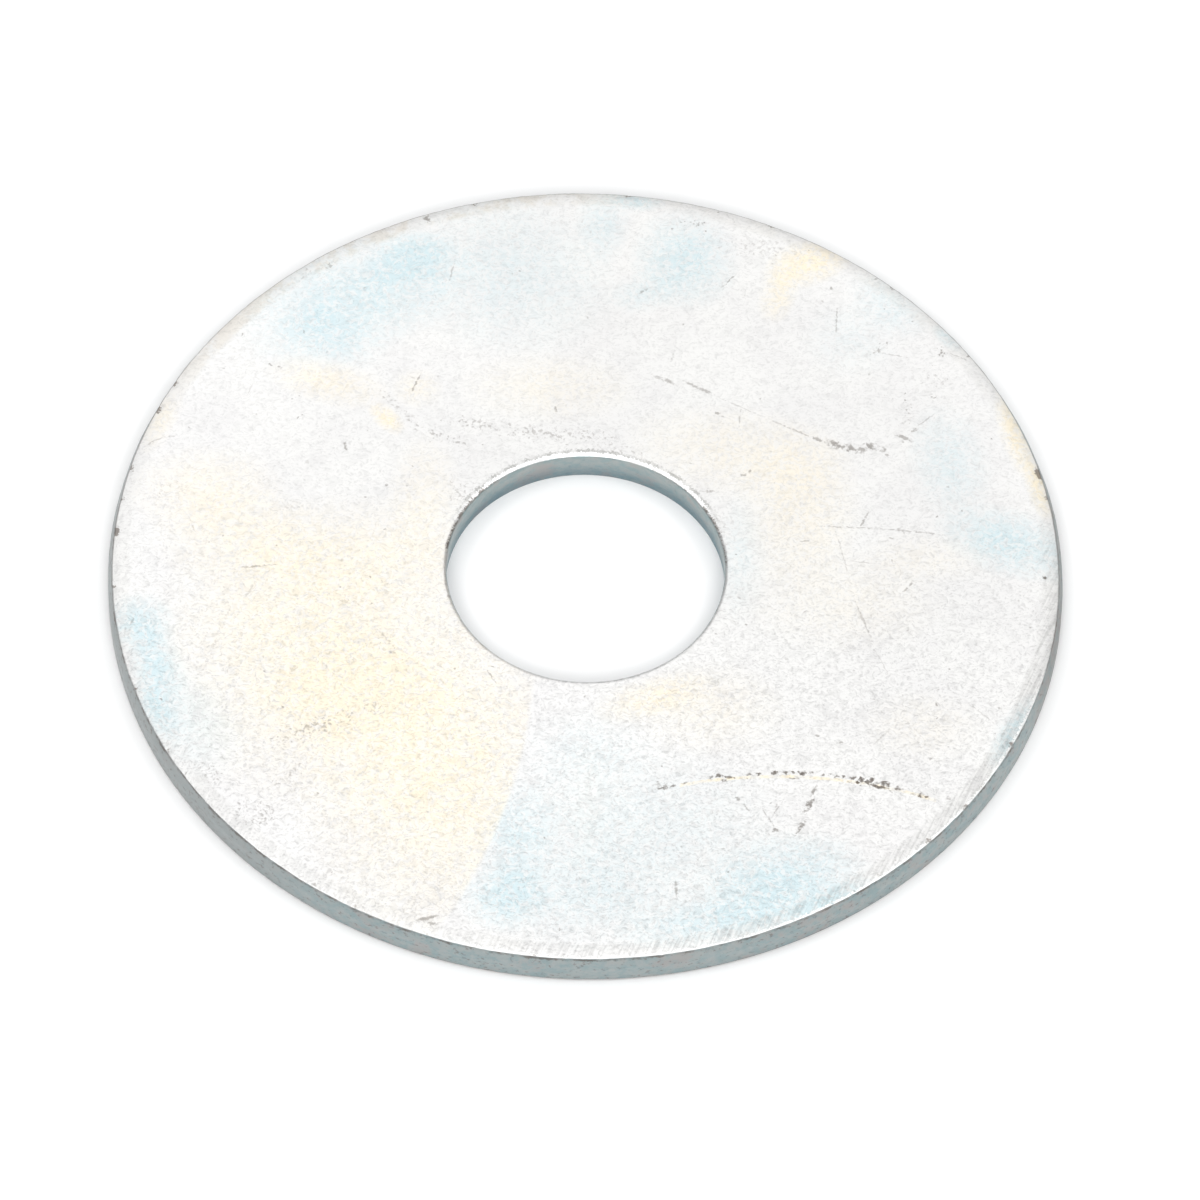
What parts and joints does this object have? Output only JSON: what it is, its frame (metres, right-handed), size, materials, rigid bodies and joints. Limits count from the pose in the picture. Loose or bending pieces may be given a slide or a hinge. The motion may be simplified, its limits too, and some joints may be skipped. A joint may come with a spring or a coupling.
{
  "type": "flat washer",
  "caption": "Large thin flat washer of zinc plated steel that spreads a bolt's load on soft or thin material.",
  "frame": {"origin": "centre of the underside, on the axis of the bore", "axes": "+Z along the bore axis, out of the top face with the brushed rim; X and Y lie in the underside and have no preferred direction"},
  "size_m": [0.035, 0.035, 0.0012],
  "materials": {
    "zinc_plated_steel": "bright zinc plate, tumbled to a fine orange peel grain, with faint blue and straw tints"
  },
  "bodies": {
    "root": {"washer": "zinc_plated_steel"}
  },
  "joints": []
}
